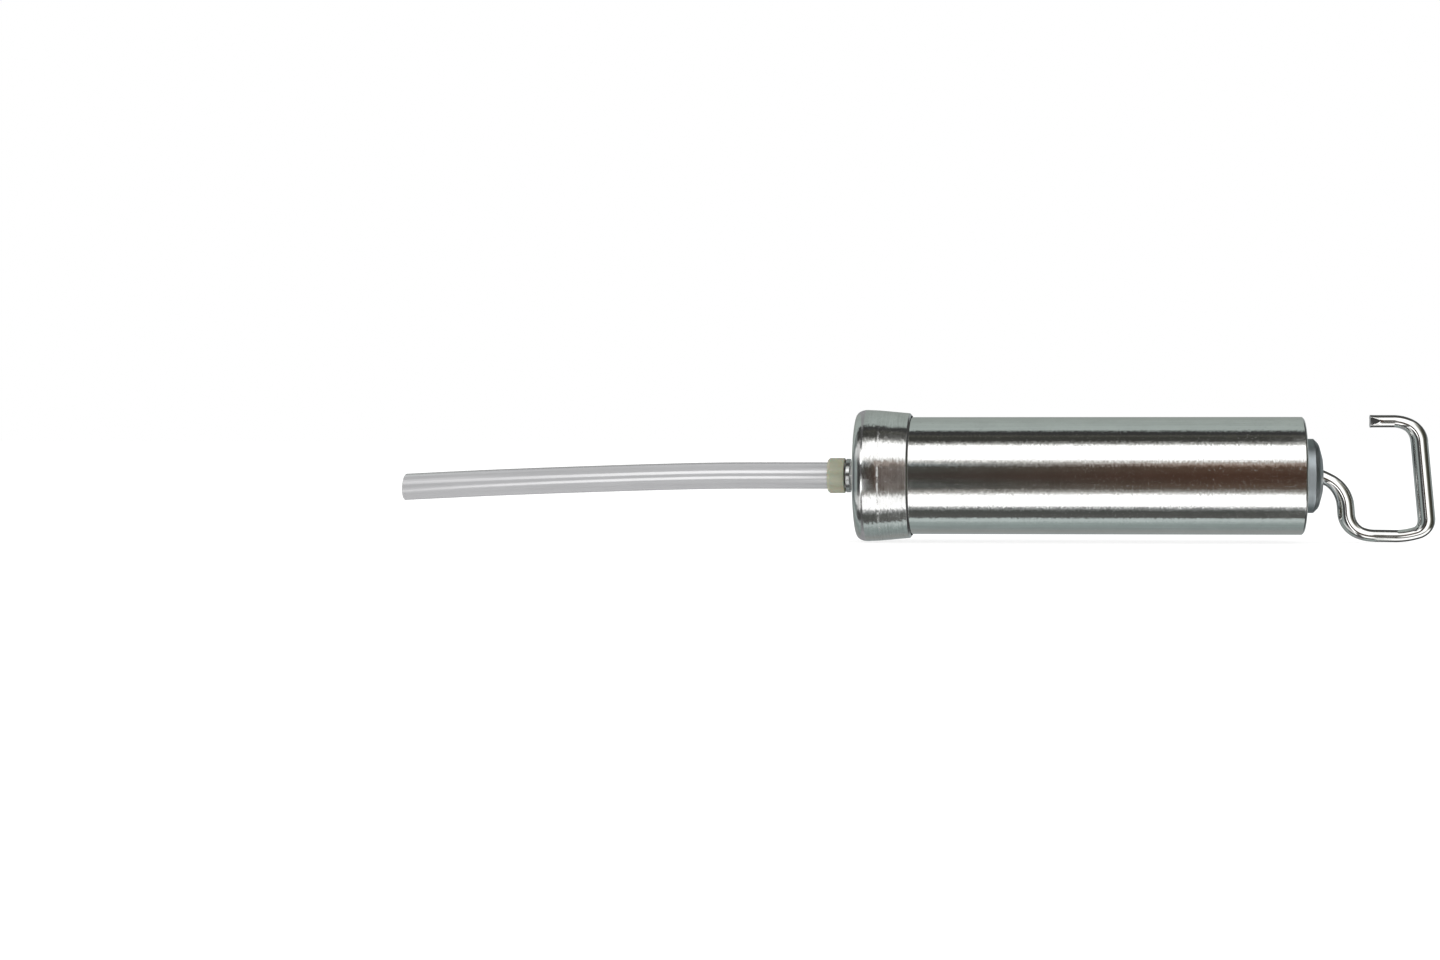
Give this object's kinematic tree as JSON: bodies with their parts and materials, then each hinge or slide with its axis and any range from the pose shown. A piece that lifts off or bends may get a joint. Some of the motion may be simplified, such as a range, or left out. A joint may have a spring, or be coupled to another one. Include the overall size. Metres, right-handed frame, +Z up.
{
  "type": "hand suction gun",
  "caption": "Hand suction gun: polished barrel with a screw cap, a short clear hose on a hex fitting, and a plunger rod bent into a hook handle.",
  "frame": {"origin": "under the middle of the rigid gun, which is the gun without its hose and collar, on the surface that it lies on", "axes": "+X along the barrel from the hose to the handle, +Z up in the plane of the hook handle"},
  "size_m": [0.5054, 0.0642, 0.0642],
  "materials": {
    "hose_vinyl": "clear, grey-tinted vinyl",
    "collar_nylon": "translucent moulded nylon",
    "fitting_plate": "bright plated, with machining marks",
    "cap_metal": "brushed and lightly mottled",
    "barrel_metal": "polished, with fine lengthwise streaks",
    "guide_metal": "satin, blue-grey",
    "handle_wire": "plated wire, with drawing marks",
    "hardware_steel": "zinc plated",
    "seal_rubber": "matt black nitrile"
  },
  "bodies": {
    "barrel_body": {"barrel": "barrel_metal", "rod_guide": "guide_metal", "guide_lock_ring": "hardware_steel"},
    "cap_seal_body": {"cap_gasket": "seal_rubber"},
    "cap_body": {"front_cap": "cap_metal", "hose_fitting": "fitting_plate", "fitting_gasket": "seal_rubber", "fitting_lock_nut": "hardware_steel", "hose_collar": "collar_nylon", "hose": "hose_vinyl"},
    "piston_body": {"front_cup_seal": "seal_rubber", "cup_spreader_disc": "hardware_steel", "rear_cup_seal": "seal_rubber"},
    "plunger_body": {"rod_handle": "handle_wire", "front_piston_nut": "hardware_steel", "front_lock_washer": "hardware_steel", "front_follower_disc": "hardware_steel", "rear_follower_disc": "hardware_steel", "rear_lock_washer": "hardware_steel", "rear_piston_nut": "hardware_steel"}
  },
  "joints": [
    {"name": "plunger_slide", "type": "slide", "parent": "barrel_body", "child": "piston_body", "axis": [1, 0, 0], "range_m": [0, 0.17]},
    {"name": "plunger_turn", "type": "hinge", "parent": "piston_body", "child": "plunger_body", "pos_m": [0.09911, 0, 0.0321], "axis": [1, 0, 0], "continuous": true},
    {"name": "cap_travel", "type": "slide", "parent": "barrel_body", "child": "cap_seal_body", "axis": [-1, 0, 0], "range_m": [0, 0.00905]},
    {"name": "cap_turn", "type": "hinge", "parent": "cap_seal_body", "child": "cap_body", "pos_m": [-0.12659, 0, 0.0321], "axis": [-1, 0, 0], "range_deg": [0, 1080]}
  ],
  "couplings": [
    {"joint": "cap_travel", "follows": "cap_turn", "m_per_rad": 0.00047746}
  ]
}
